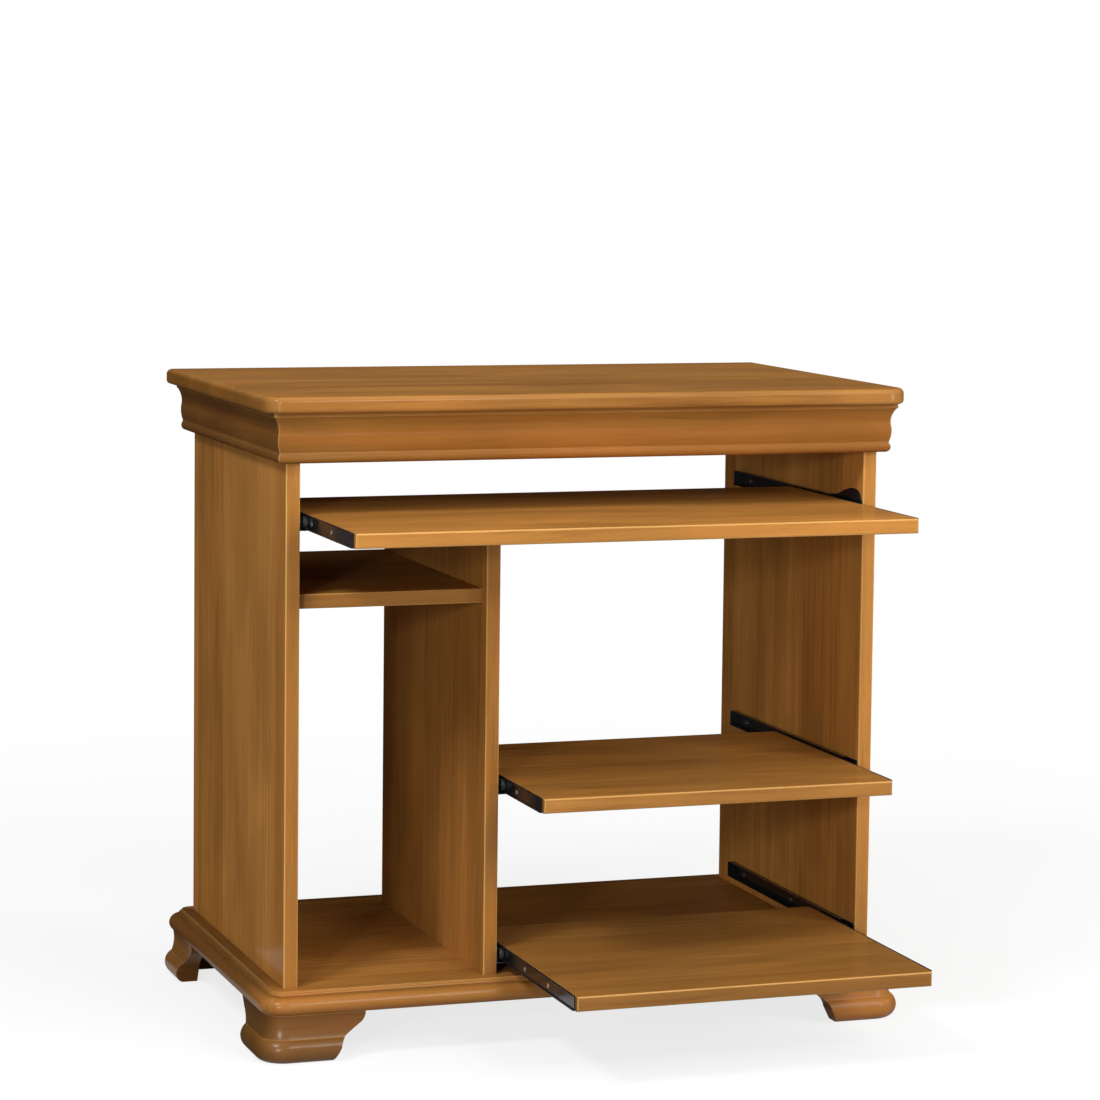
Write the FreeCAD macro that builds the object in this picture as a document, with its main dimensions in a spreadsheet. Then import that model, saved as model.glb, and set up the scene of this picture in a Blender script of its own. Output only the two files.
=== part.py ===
import FreeCAD, Part
import os
import re
from FreeCAD import Placement, Rotation, Vector

# Computer cabinet. X runs across the front, Y towards the back, Z up from the floor.
# The origin is on the floor, in the middle of the outline with the shelves drawn out.

# Driving dimensions in millimetres
SIZES = {
    "board": 18,  # thickness of every board of the carcass
    "cabinet_width": 770,  # over the outside of the side panels
    "panel_depth": 468,  # side panels, front edge to back edge
    "front_line": -122.5,  # Y of the front edges of the side panels
    "foot_height": 58,
    "base_top": 85,  # floor of the bays
    "base_ledge": 31,  # how far a base moulding reaches under the bottom panel
    "frieze_bottom": 723,
    "frieze_top": 784,
    "top_thickness": 20,
    "top_overhang": 29,  # beyond the side panels at the front
    "top_side_overhang": 32,
    "top_back_overhang": 25,
    "top_corner": 28,  # radius of the front corners in plan
    "divider_left": -131.5,  # X of the left face of the divider
    "divider_depth": 442,
    "divider_top": 632,
    "tower_shelf_top": 562.5,
    "tower_shelf_setback": 17,
    "rail_drop": 59,  # height of the two rails under the top
    "slide_gap": 13,  # between a drawn shelf and the board beside it
    "tray_top": 659,
    "tray_depth": 405,
    "tray_out": 196,  # how far the tray stands out of the side panels
    "middle_top": 327,
    "printer_top": 116,
    "shelf_depth": 381,
    "middle_out": 135,
    "printer_out": 260,
    "steel": 1.2,  # sheet of the slides
    "slide_setback": 8,  # from the front of a drawn shelf to its slide
    "runner_start": 2,  # from the front line to the runner
    "runner_length": 410,
    "front_roller_radius": 7.7,
    "back_roller_radius": 8.4,
    "roller_width": 5.6,
    "axle_radius": 2.5,
    "foot_reach": 37.5,  # furthest point of a foot from the side panel
    "foot_leg": 96,  # length of a foot's leg under the base
    "foot_inner": 7.5,  # from the side panel to the inner face of a foot's leg
    "bay_right": "=cabinet_width/2 - board - slide_gap",  # right sides of the drawn shelves
    "tray_left": "=board + slide_gap - cabinet_width/2",
    "shelf_left": "=divider_left + board + slide_gap",
}

EDGE_RADIUS = 2.5
TOP_UPPER_RADIUS = 7
TOP_LOWER_RADIUS = 5
CORNICE_STOCK = 30  # length a cornice runs past a corner before its mitre is sawn
CORNICE_SHORT = 3  # from the end of a side cornice to the back of the top

DOWEL_RADIUS = 4
DOWEL_LENGTH = 30
DOWEL_SHORT = 12  # part of a dowel inside an upright board
DOWEL_LONG = 18
TOP_SCREW = (4, 2.5, 2, 70)  # head radius, head height, shank radius, length
CARCASS_SCREW = (5, 3, 3, 60)
CARCASS_SCREW_PLACES = (90, 234, 400)  # from the front line
FOOT_SCREW = (4.5, 2.8, 2.2, 70)
FOOT_SCREW_OUT = 17.5  # from the side panel to the middle of a leg
FOOT_SCREW_ALONG = 30  # from the corner of the carcass
FOOT_SCREW_LIFT = 0.5
SLIDE_SCREW = (3.2, 1, 1.7, 14)

# Slides, in millimetres out from the side of the shelf and up from its top
SLIDE_LIP = 3  # lips of the moving section
SLIDE_SHORT = 2  # from its end to the back of the shelf
SLIDE_SCREW_SEAT = 0.5  # inner end of the screw heads sunk in its web
LID_REACH = 6  # near edge of the runner's top
LID_START = 32  # from the front of a runner to its top
EAR_LID_START = 90
CHANNEL_LOW = -18.2
CHANNEL_HIGH = 1.5
CHANNEL_LIP = 3.6  # near edge of the runner's floor
BACK_ROLLER_OUT = 3.2  # near face of the roller on the shelf
BACK_ROLLER_UP = -8.5
BACK_ROLLER_INSET = 16  # from the back of the shelf
BACK_RIVET_TIP = 9.8
FRONT_ROLLER_OUT = 1.8
FRONT_ROLLER_UP = -9
FRONT_ROLLER_INSET = 12  # from the front of the runner
FRONT_RIVET_TIP = 1.9
RIVET_HEAD = 0.9
RIVET_FLANGE = 1.5  # from its shank to the rim of its head
RIVET_ROOT = 0.2  # from the far side of the steel that holds it
HEAD_SEAT = 1.1  # depth of the recess in a front roller for the head of its rivet
HEAD_SEAT_GAP = 0.2
ROLLER_BORE_GAP = 0.08
ROLLER_RIM = 0.5
SCREW_UP = -9.5
SHELF_SCREWS = (102, 189, 345)  # from the front of the shelf
RUNNER_SCREWS = (60, 205, 370)  # from the front of the runner

SHELVES = {
    "keyboard_tray": {
        "left": "tray_left",
        "top": "tray_top",
        "depth": "tray_depth",
        "out": "tray_out",
        "ear": True,
    },
    "middle_shelf": {
        "left": "shelf_left",
        "top": "middle_top",
        "depth": "shelf_depth",
        "out": "middle_out",
        "ear": False,
    },
    "printer_shelf": {
        "left": "shelf_left",
        "top": "printer_top",
        "depth": "shelf_depth",
        "out": "printer_out",
        "ear": False,
    },
}

doc = FreeCAD.newDocument("computer_cabinet")
sheet = doc.addObject("Spreadsheet::Sheet", "dims")
for row, (alias, number) in enumerate(SIZES.items(), 1):
    sheet.set(f"A{row}", alias)
    sheet.set(f"B{row}", str(number))
    sheet.setAlias(f"B{row}", alias)
doc.recompute()

nodes = {}


def size(alias):
    return float(sheet.get(alias))


def formula(text):
    """Point each word of a sum at its cell in the sheet."""
    return re.sub(r"[a-z]\w*", lambda word: "dims." + word.group(), text)


def place(thing, x, y, z):
    """Tie the place of an object to the sheet."""
    thing.setExpression("Placement.Base.x", formula(x))
    thing.setExpression("Placement.Base.y", formula(y))
    thing.setExpression("Placement.Base.z", formula(z))


def node(name, thing):
    """Give a finished sub-part its name."""
    thing.Label = name
    nodes[name] = thing
    return thing


def box(name, corner, extent):
    """A board whose near, left, low corner and extent are sums of cells."""
    blank = doc.addObject("Part::Box", name)
    for side, text in zip(("Length", "Width", "Height"), extent):
        blank.setExpression(side, formula(text))
    place(blank, *corner)
    return blank


def rod(name, radius, length, start, axis):
    """A cylinder of given numbers from start along axis."""
    cylinder = doc.addObject("Part::Cylinder", name)
    cylinder.Radius = radius
    cylinder.Height = length
    cylinder.Placement = Placement(start, Rotation(Vector(0, 0, 1), axis))
    return cylinder


def soften(name, thing, radius, chosen):
    """Round the edges whose bounding box passes the test."""
    doc.recompute()
    eased = doc.addObject("Part::Fillet", name)
    eased.Base = thing
    numbered = enumerate(thing.Shape.Edges, 1)
    eased.Edges = [(i, radius, radius) for i, edge in numbered if chosen(edge.BoundBox)]
    return eased


def cut(name, thing, tool):
    """Seat a group of fasteners in a piece, or take a tool away from it."""
    result = doc.addObject("Part::Cut", name)
    result.Base = thing
    result.Tool = tool
    return result


def group(name, things):
    """Equal fasteners as separate solids of one sub-part."""
    bundle = doc.addObject("Part::Compound", name)
    bundle.Links = things
    return bundle


def new_body(name):
    return doc.addObject("PartDesign::Body", name)


def sketch_on(body, role, name, shift=0.0):
    """An empty sketch on one of the body's own planes, moved along its normal."""
    plane = [o for o in body.Origin.OriginFeatures if o.Role == role][0]
    sketch = body.newObject("Sketcher::SketchObject", name)
    sketch.AttachmentSupport = [(plane, "")]
    sketch.MapMode = "FlatFace"
    sketch.AttachmentOffset = Placement(Vector(0, 0, shift), Rotation())
    return sketch


def draw(sketch, path):
    """Close an outline of corners (pairs) and arcs (a point on the way and the end)."""
    start = Vector(*path[0], 0)
    here = start
    for step in path[1:] + [path[0]]:
        if isinstance(step[0], tuple):
            through = Vector(*step[0], 0)
            end = Vector(*step[1], 0)
            sketch.addGeometry(Part.Arc(here, through, end), False)
        else:
            end = Vector(*step, 0)
            if (end - here).Length < 1e-6:
                continue
            sketch.addGeometry(Part.LineSegment(here, end), False)
        here = end


def pad(body, sketch, length, reverse=False, middle=False):
    feature = body.newObject("PartDesign::Pad", sketch.Name + "_pad")
    feature.Profile = sketch
    feature.setExpression("Length", formula(length))
    feature.Reversed = reverse
    feature.Midplane = middle
    return feature


def turn(body, sketch, angle, reverse=False):
    """Revolve an outline about the sketch's upright axis."""
    feature = body.newObject("PartDesign::Revolution", sketch.Name + "_turn")
    feature.Profile = sketch
    feature.ReferenceAxis = (sketch, ["V_Axis"])
    feature.Angle = angle
    feature.Reversed = reverse
    return feature


def pocket(body, sketch):
    """Cut an outline right through, both ways."""
    feature = body.newObject("PartDesign::Pocket", sketch.Name + "_cut")
    feature.Profile = sketch
    feature.Type = "ThroughAll"
    feature.Midplane = True
    return feature


def mirrored(path):
    """The same outline with the outward direction along minus X."""
    turned = []
    for step in path:
        if isinstance(step[0], tuple):
            turned.append(((-step[0][0], step[0][1]), (-step[1][0], step[1][1])))
        else:
            turned.append((-step[0], step[1]))
    return turned


# Profiles of the mouldings: distance out from the side panel, height above the floor


def cornice_profile():
    """Bead, quirk, low belly, deep cove and a square fillet under the top."""
    low, high = size("frieze_bottom"), size("frieze_top")
    bead, quirk, belly, cove, fillet = low + 11, low + 13, low + 36, high - 5.6, high - 5
    return [
        (0, low),
        (8, low),
        ((12.8, low + 5.5), (11.2, bead)),
        (10.8, quirk),
        ((13.4, low + 25), (12.4, belly)),
        ((13.9, low + 48), (17.8, cove)),
        (19.2, fillet),
        (19.2, high),
        (0, high),
    ]


def base_profile():
    """A fillet and a small bead over a big half-round nose with a flat underside."""
    low, high = size("foot_height"), size("base_top")
    ledge, fillet = low + 20.2, high - 2.2
    return [
        (0, low),
        (27, low),
        ((32, low + 9.6), (20, ledge)),
        (17.2, ledge),
        ((19, ledge + 2.4), (16.6, fillet)),
        (15.4, fillet),
        (15.4, high),
        (0, high),
    ]


def foot_profile():
    """Hollow under the base, full belly near the floor, flat inside."""
    high, reach, inner = size("foot_height"), size("foot_reach"), size("foot_inner")
    return [
        (inner, 0),
        (27.5, 0),
        ((reach, 12.5), (29.4, 28.5)),
        ((25.8, 42), (27, high)),
        (inner, high),
    ]


def foot_end(leg, high):
    """What is sawn off a foot's leg: a lobe under the base, then slopes to the floor."""
    return [
        (leg, high),
        (leg, high - 3),
        ((leg - 1.6, high - 9), (leg - 6, high - 14)),
        (leg - 24, 31),
        ((leg - 29.5, 25), (leg - 32.5, 17)),
        (leg - 41, 0),
        (leg - 41, -10),
        (leg + 20, -10),
        (leg + 20, high),
    ]


# Carcass


def side_panel(name, corner_x, groups):
    panel = box(
        name + "_blank",
        (corner_x, "front_line", "base_top"),
        ("board", "panel_depth", "frieze_top - base_top"),
    )
    front = size("front_line")
    eased = soften(
        name + "_eased",
        panel,
        EDGE_RADIUS,
        lambda b: b.YMax < front + 0.01 and b.ZLength > 100,
    )
    for i, fasteners in enumerate(groups):
        eased = cut(f"{name}_drilled_{i}", eased, fasteners)
    return node(name, eased)


def divider(groups):
    front = size("front_line")
    board = box(
        "divider_blank",
        ("divider_left", "front_line", "base_top"),
        ("board", "divider_depth", "divider_top - base_top"),
    )
    eased = soften(
        "divider_eased",
        board,
        EDGE_RADIUS,
        lambda b: b.YMax < front + 0.01 and b.ZLength > 100,
    )
    for i, fasteners in enumerate(groups):
        eased = cut(f"divider_drilled_{i}", eased, fasteners)
    return node("divider_panel", eased)


def tower_shelf(dowels):
    front = size("front_line") + size("tower_shelf_setback")
    board = box(
        "tower_shelf_blank",
        (
            "board - cabinet_width/2",
            "front_line + tower_shelf_setback",
            "tower_shelf_top - board",
        ),
        (
            "divider_left + cabinet_width/2 - board",
            "divider_depth - tower_shelf_setback",
            "board",
        ),
    )
    eased = soften(
        "tower_shelf_eased",
        board,
        EDGE_RADIUS,
        lambda b: b.YMax < front + 0.01 and b.XLength > 100,
    )
    return node("tower_shelf", cut("tower_shelf_drilled", eased, dowels))


def bottom_panel(groups):
    panel = box(
        "bottom_panel_blank",
        ("-cabinet_width/2", "front_line", "base_top - board"),
        ("cabinet_width", "panel_depth", "board"),
    )
    for i, fasteners in enumerate(groups):
        panel = cut(f"bottom_panel_drilled_{i}", panel, fasteners)
    return node("bottom_panel", panel)


def top_rail(name, corner_y, groups):
    rail = box(
        name + "_blank",
        ("board - cabinet_width/2", corner_y, "frieze_top - rail_drop"),
        ("cabinet_width - 2*board", "board", "rail_drop"),
    )
    for i, fasteners in enumerate(groups):
        rail = cut(f"{name}_drilled_{i}", rail, fasteners)
    return node(name, rail)


def top_panel(screws):
    """The top, with round front corners and a thumb-rounded edge."""
    blank = box(
        "top_blank",
        (
            "-cabinet_width/2 - top_side_overhang",
            "front_line - top_overhang",
            "frieze_top",
        ),
        (
            "cabinet_width + 2*top_side_overhang",
            "panel_depth + top_overhang + top_back_overhang",
            "top_thickness",
        ),
    )
    front = size("front_line") - size("top_overhang")
    top = size("frieze_top") + size("top_thickness")
    corners = soften(
        "top_corners",
        blank,
        size("top_corner"),
        lambda b: b.ZLength > 1 and b.YMax < front + 0.01,
    )
    upper = soften(
        "top_upper_edge", corners, TOP_UPPER_RADIUS, lambda b: b.ZMin > top - 0.01
    )
    lower = soften(
        "top_lower_edge",
        upper,
        TOP_LOWER_RADIUS,
        lambda b: b.ZMax < size("frieze_top") + 0.01,
    )
    return node("top_panel", cut("top_drilled", lower, screws))


# Mouldings are drawn lengthwise along X with their face towards minus Y, then turned


def base_moulding(name, run, angle, x, y, ledge_inset, groups):
    """A base moulding with half of the rounded corner at each end."""
    body = new_body(name + "_body")
    profile = mirrored(base_profile())
    face = sketch_on(body, "YZ_Plane", name + "_face")
    draw(face, profile)
    pad(body, face, run, middle=True)
    half = size(run) / 2
    for end, sign in (("left", -1), ("right", 1)):
        corner = sketch_on(body, "YZ_Plane", f"{name}_{end}", sign * half)
        draw(corner, profile)
        turn(body, corner, 45, reverse=sign < 0)
    ledge = sketch_on(body, "YZ_Plane", name + "_ledge")
    low, deep = size("foot_height"), size("base_ledge")
    shelf = size("base_top") - size("board")
    draw(ledge, [(0, low), (deep, low), (deep, shelf), (0, shelf)])
    pad(body, ledge, f"{run} - {ledge_inset}", middle=True)
    body.Placement = Placement(Vector(), Rotation(Vector(0, 0, 1), angle))
    place(body, x, y, "0")
    result = body
    for i, fasteners in enumerate(groups):
        result = cut(f"{name}_drilled_{i}", result, fasteners)
    return node(name, result)


def cornice(name, low_end, high_end, mitres, angle, x, y):
    """A frieze moulding from low_end to high_end along X, mitred where asked."""
    reach, past = CORNICE_STOCK, 10
    body = new_body(name)
    face = sketch_on(body, "YZ_Plane", name + "_face", low_end)
    draw(face, mirrored(cornice_profile()))
    strip = body.newObject("PartDesign::Pad", name + "_strip")
    strip.Profile = face
    strip.Length = high_end - low_end
    for end, sign in ((low_end + reach, -1), (high_end - reach, 1)):
        if sign not in mitres:
            continue
        mitre = sketch_on(body, "XY_Plane", f"{name}_mitre_{'low' if sign < 0 else 'high'}")
        far = end + sign * (reach + past)
        draw(mitre, [(end, 0), (far, -(reach + past)), (far, past), (end, past)])
        pocket(body, mitre)
    body.Placement = Placement(Vector(), Rotation(Vector(0, 0, 1), angle))
    place(body, x, y, "0")
    return node(name, body)


def foot(name, angle, x, y, screws):
    """An ogee bracket foot: two legs at right angles round a turned corner."""
    body = new_body(name + "_body")
    profile = foot_profile()
    high, leg = size("foot_height"), size("foot_leg")
    across = sketch_on(body, "YZ_Plane", name + "_front_leg")
    draw(across, mirrored(profile))
    pad(body, across, "foot_leg")
    along = sketch_on(body, "XZ_Plane", name + "_side_leg")
    draw(along, mirrored(profile))
    pad(body, along, "foot_leg", reverse=True)
    corner = sketch_on(body, "YZ_Plane", name + "_corner")
    draw(corner, mirrored(profile))
    turn(body, corner, 90, reverse=True)
    front_end = sketch_on(body, "XZ_Plane", name + "_front_end")
    draw(front_end, foot_end(leg, high))
    pocket(body, front_end)
    side_end = sketch_on(body, "YZ_Plane", name + "_side_end")
    draw(side_end, foot_end(leg, high))
    pocket(body, side_end)
    body.Placement = Placement(Vector(), Rotation(Vector(0, 0, 1), angle))
    place(body, x, y, "0")
    return node(name, cut(name, body, screws))


# Fasteners


def screw(name, start, sizes):
    """A countersunk screw driven straight up from start."""
    head_radius, head_height, shank_radius, length = sizes
    axis = Vector(0, 0, 1)
    head = doc.addObject("Part::Cone", name + "_head")
    head.Radius1 = head_radius
    head.Radius2 = shank_radius
    head.Height = head_height
    head.Placement = Placement(start, Rotation())
    shank = rod(name + "_shank", shank_radius, length, start, axis)
    joined = doc.addObject("Part::MultiFuse", name)
    joined.Shapes = [head, shank]
    return joined


def pan_screw(name, start, axis):
    """A pan-head screw along axis: start is where the head meets the sheet."""
    head_radius, head_height, shank_radius, length = SLIDE_SCREW
    head = rod(name + "_head", head_radius, head_height, start - axis * head_height, axis)
    shank = rod(name + "_shank", shank_radius, length, start, axis)
    joined = doc.addObject("Part::MultiFuse", name)
    joined.Shapes = [head, shank]
    return joined


def dowels(name, starts):
    """Beech dowels from the given starts, all along X."""
    pins = []
    for i, start in enumerate(starts):
        pins.append(rod(f"{name}_{i}", DOWEL_RADIUS, DOWEL_LENGTH, start, Vector(1, 0, 0)))
    return node(name, group(name, pins))


def top_rail_dowels():
    inner = size("cabinet_width") / 2 - size("board")
    front = size("front_line") + size("board") / 2
    back = size("front_line") + size("panel_depth") - size("board") / 2
    starts = []
    for y in (front, back):
        for z in (size("frieze_top") - 16, size("frieze_top") - 44):
            starts.append(Vector(-inner - DOWEL_SHORT, y, z))
            starts.append(Vector(inner - DOWEL_LONG, y, z))
    return dowels("top_rail_dowels", starts)


def tower_shelf_dowels():
    inner = size("board") - size("cabinet_width") / 2
    middle = size("tower_shelf_top") - size("board") / 2
    starts = []
    for y in (size("front_line") + 70, size("front_line") + 390):
        starts.append(Vector(inner - DOWEL_SHORT, y, middle))
        starts.append(Vector(size("divider_left") - DOWEL_LONG, y, middle))
    return dowels("tower_shelf_dowels", starts)


def top_screws():
    """Long screws up through the two rails into the top."""
    low = size("frieze_top") - size("rail_drop")
    front = size("front_line") + size("board") / 2
    back = size("front_line") + size("panel_depth") - size("board") / 2
    screws = []
    for y in (front, back):
        for x in (-250, 0, 250):
            start = Vector(x, y, low)
            screws.append(screw(f"top_screw_{len(screws)}", start, TOP_SCREW))
    return node("top_screws", group("top_screws", screws))


def carcass_screws():
    """Screws up through the base into the side panels and the divider."""
    outer = (size("cabinet_width") - size("board")) / 2
    middle = size("divider_left") + size("board") / 2
    front = size("front_line")
    under_ledge = size("foot_height")
    under_panel = size("base_top") - size("board")
    screws = []
    near, halfway, far = CARCASS_SCREW_PLACES
    places = [(x, y, under_ledge) for x in (-outer, outer) for y in (near, halfway, far)]
    places += [(middle, y, under_panel) for y in (near, far)]
    for x, y, z in places:
        start = Vector(x, front + y, z)
        screws.append(screw(f"carcass_screw_{len(screws)}", start, CARCASS_SCREW))
    return node("carcass_screws", group("carcass_screws", screws))


def foot_screws():
    """A screw up through each leg of the feet into the moulding above it."""
    out, along = FOOT_SCREW_OUT, FOOT_SCREW_ALONG
    screws = []
    for x, y, side_x, side_y in CORNERS:
        for place_x, place_y in (
            (x + side_x * out, y - side_y * along),
            (x - side_x * along, y + side_y * out),
        ):
            start = Vector(place_x, place_y, FOOT_SCREW_LIFT)
            screws.append(screw(f"foot_screw_{len(screws)}", start, FOOT_SCREW))
    return node("foot_screws", group("foot_screws", screws))


# Drawn shelves. Section points are distance out from the shelf's side, height from its top


def slide_section():
    """The moving steel section: a web on the shelf's side with two short lips outwards."""
    steel, board = size("steel"), size("board")
    return [
        (0, -board),
        (SLIDE_LIP, -board),
        (SLIDE_LIP, -board + steel),
        (steel, -board + steel),
        (steel, -steel),
        (SLIDE_LIP, -steel),
        (SLIDE_LIP, 0),
        (0, 0),
    ]


def runner_section():
    """The fixed steel channel without its top: back on the board, floor for a roller."""
    steel, gap = size("steel"), size("slide_gap")
    return [
        (CHANNEL_LIP, CHANNEL_LOW),
        (gap, CHANNEL_LOW),
        (gap, CHANNEL_HIGH),
        (gap - steel, CHANNEL_HIGH),
        (gap - steel, CHANNEL_LOW + steel),
        (CHANNEL_LIP, CHANNEL_LOW + steel),
    ]


def runner_ear():
    """Raised nose of the tray's runner: distance from its front, height from the tray."""
    return [
        (0, -4),
        (1, 0),
        (5, 6.5),
        ((9.5, 11.5), (16, 13.8)),
        ((27, 15), (40, 13.6)),
        (56, 10),
        ((67, 6), (80, 3)),
        (94, CHANNEL_HIGH),
        (94, -4),
    ]


def edge(shelf, side):
    """The cell with the X of a drawn shelf's side."""
    return "bay_right" if side > 0 else shelf["left"]


def rivet(name, side, x, root, tip, y, z):
    """A rivet along X from root to tip, both measured out from x, with a flat head."""
    towards = 1 if tip > root else -1
    axis = Vector(side * towards, 0, 0)
    shank = rod(
        name + "_shank",
        size("axle_radius"),
        abs(tip - root),
        Vector(x + side * root, y, z),
        axis,
    )
    start = Vector(x + side * (tip - towards * RIVET_HEAD), y, z)
    head_radius = size("axle_radius") + RIVET_FLANGE
    head = rod(name + "_rivet_head", head_radius, RIVET_HEAD, start, axis)
    return [shank, head]


def roller(name, side, start, radius):
    """A nylon roller bored for its rivet, with softened rims."""
    axis = Vector(side, 0, 0)
    tread = rod(name + "_tread", size(radius), size("roller_width"), start, axis)
    soft = soften(name + "_rims", tread, ROLLER_RIM, lambda b: b.XLength < 0.01)
    bore_radius = size("axle_radius") + ROLLER_BORE_GAP
    bore = rod(name + "_bore", bore_radius, size("roller_width") + 2, start - axis, axis)
    return cut(name + "_bored", soft, bore)


def back_roller(name, side, x, y, z):
    """The roller that a moving section carries along the floor of the channel."""
    start = Vector(x + side * BACK_ROLLER_OUT, y, z + BACK_ROLLER_UP)
    return node(name, roller(name, side, start, "back_roller_radius"))


def front_roller(name, side, x, y, z):
    """The roller at the mouth of a channel, between the lips of the moving section."""
    start = Vector(x + side * FRONT_ROLLER_OUT, y, z + FRONT_ROLLER_UP)
    bored = roller(name, side, start, "front_roller_radius")
    axis = Vector(side, 0, 0)
    seat_radius = size("axle_radius") + RIVET_FLANGE + HEAD_SEAT_GAP
    seat = rod(name + "_seat", seat_radius, HEAD_SEAT + 1, start - axis, axis)
    return node(name, cut(name, bored, seat))


def slide(name, side, shelf, screws):
    """The moving section with the rivet of its back roller."""
    body = new_body(name + "_body")
    section = sketch_on(body, "XZ_Plane", name + "_section")
    draw(section, slide_section() if side > 0 else mirrored(slide_section()))
    pad(body, section, f"{shelf['depth']} - slide_setback - {SLIDE_SHORT}", reverse=True)
    front = f"front_line - {shelf['out']} + slide_setback"
    place(body, edge(shelf, side), front, shelf["top"])
    x, y = size(edge(shelf, side)), size("front_line") - size(shelf["out"])
    y += size(shelf["depth"]) - BACK_ROLLER_INSET
    z = size(shelf["top"]) + BACK_ROLLER_UP
    fused = doc.addObject("Part::MultiFuse", name + "_riveted")
    fused.Shapes = [body] + rivet(name, side, x, RIVET_ROOT, BACK_RIVET_TIP, y, z)
    return node(name, cut(name, fused, screws))


def runner(name, side, shelf, screws):
    """The fixed channel: long back and floor, a top behind the front roller, a back stop."""
    steel, gap = size("steel"), size("slide_gap")
    edge_cell = edge(shelf, side)
    top = shelf["top"]
    body = new_body(name + "_body")
    section = sketch_on(body, "XZ_Plane", name + "_section")
    draw(section, runner_section() if side > 0 else mirrored(runner_section()))
    pad(body, section, "runner_length", reverse=True)
    place(body, edge_cell, "front_line + runner_start", top)
    if shelf["ear"]:
        shift = gap - steel if side > 0 else -gap
        ear = sketch_on(body, "YZ_Plane", name + "_ear", shift)
        draw(ear, runner_ear())
        pad(body, ear, "steel")
    open_front = EAR_LID_START if shelf["ear"] else LID_START
    lid = box(
        name + "_lid",
        (
            f"{edge_cell} + {LID_REACH}" if side > 0 else f"{edge_cell} - slide_gap",
            f"front_line + runner_start + {open_front}",
            f"{top} + {CHANNEL_HIGH} - steel",
        ),
        (f"slide_gap - {LID_REACH}", f"runner_length - {open_front}", "steel"),
    )
    stop = box(
        name + "_stop",
        (
            f"{edge_cell} + {CHANNEL_LIP}" if side > 0 else f"{edge_cell} - slide_gap",
            "front_line + runner_start + runner_length - steel",
            f"{top} - {-CHANNEL_LOW}",
        ),
        (f"slide_gap - {CHANNEL_LIP}", "steel", f"{CHANNEL_HIGH - CHANNEL_LOW}"),
    )
    axle = rivet(
        name,
        side,
        size(edge_cell),
        gap - RIVET_ROOT,
        FRONT_RIVET_TIP,
        size("front_line") + size("runner_start") + FRONT_ROLLER_INSET,
        size(top) + FRONT_ROLLER_UP,
    )
    fused = doc.addObject("Part::MultiFuse", name + "_riveted")
    fused.Shapes = [body, lid, stop] + axle
    return node(name, cut(name, fused, screws))


def shelf_screws(name, shelf):
    """Pan-head screws through both moving sections into the shelf's sides."""
    screws = []
    for side in (-1, 1):
        for back in SHELF_SCREWS:
            start = Vector(
                size(edge(shelf, side)) + side * SLIDE_SCREW_SEAT,
                size("front_line") - size(shelf["out"]) + back,
                size(shelf["top"]) + SCREW_UP,
            )
            axis = Vector(-side, 0, 0)
            label = f"{name}_{len(screws)}"
            screws.append(pan_screw(label, start, axis))
    return node(name, group(name, screws))


def runner_screws(name, shelf):
    """Pan-head screws through both channels into the boards beside the shelf."""
    screws = []
    for side in (-1, 1):
        for back in RUNNER_SCREWS:
            start = Vector(
                size(edge(shelf, side)) + side * (size("slide_gap") - size("steel")),
                size("front_line") + size("runner_start") + back,
                size(shelf["top"]) + SCREW_UP,
            )
            axis = Vector(side, 0, 0)
            label = f"{name}_{len(screws)}"
            screws.append(pan_screw(label, start, axis))
    return node(name, group(name, screws))


def shelf_board(name, shelf, screws):
    """A drawn shelf with a softened front."""
    front = size("front_line") - size(shelf["out"])
    blank = box(
        name + "_blank",
        (shelf["left"], f"front_line - {shelf['out']}", f"{shelf['top']} - board"),
        (f"bay_right - {shelf['left']}", shelf["depth"], "board"),
    )
    eased = soften(
        name + "_eased", blank, EDGE_RADIUS, lambda b: b.YMax < front + 0.01
    )
    return node(name + "_board", cut(name + "_drilled", eased, screws))


def drawn_shelf(name, shelf):
    """A shelf, its two moving sections, two runners and four rollers."""
    screws = nodes[name + "_slide_screws"]
    fixings = nodes[name + "_runner_screws"]
    shelf_board(name, shelf, screws)
    back = size("front_line") - size(shelf["out"]) + size(shelf["depth"])
    back -= BACK_ROLLER_INSET
    front = size("front_line") + size("runner_start") + FRONT_ROLLER_INSET
    top = size(shelf["top"])
    for label, side in (("left", -1), ("right", 1)):
        x = size(edge(shelf, side))
        slide(f"{name}_slide_{label}", side, shelf, screws)
        runner(f"{name}_runner_{label}", side, shelf, fixings)
        back_roller(f"{name}_back_roller_{label}", side, x, back, top)
        front_roller(f"{name}_front_roller_{label}", side, x, front, top)


HALF_WIDTH = size("cabinet_width") / 2
BACK_LINE = size("front_line") + size("panel_depth")
FRONT_LINE = size("front_line")
# Corners of the carcass and the outward direction at each
CORNERS = [
    (-HALF_WIDTH, FRONT_LINE, -1, -1),
    (HALF_WIDTH, FRONT_LINE, 1, -1),
    (HALF_WIDTH, BACK_LINE, 1, 1),
    (-HALF_WIDTH, BACK_LINE, -1, 1),
]


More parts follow.
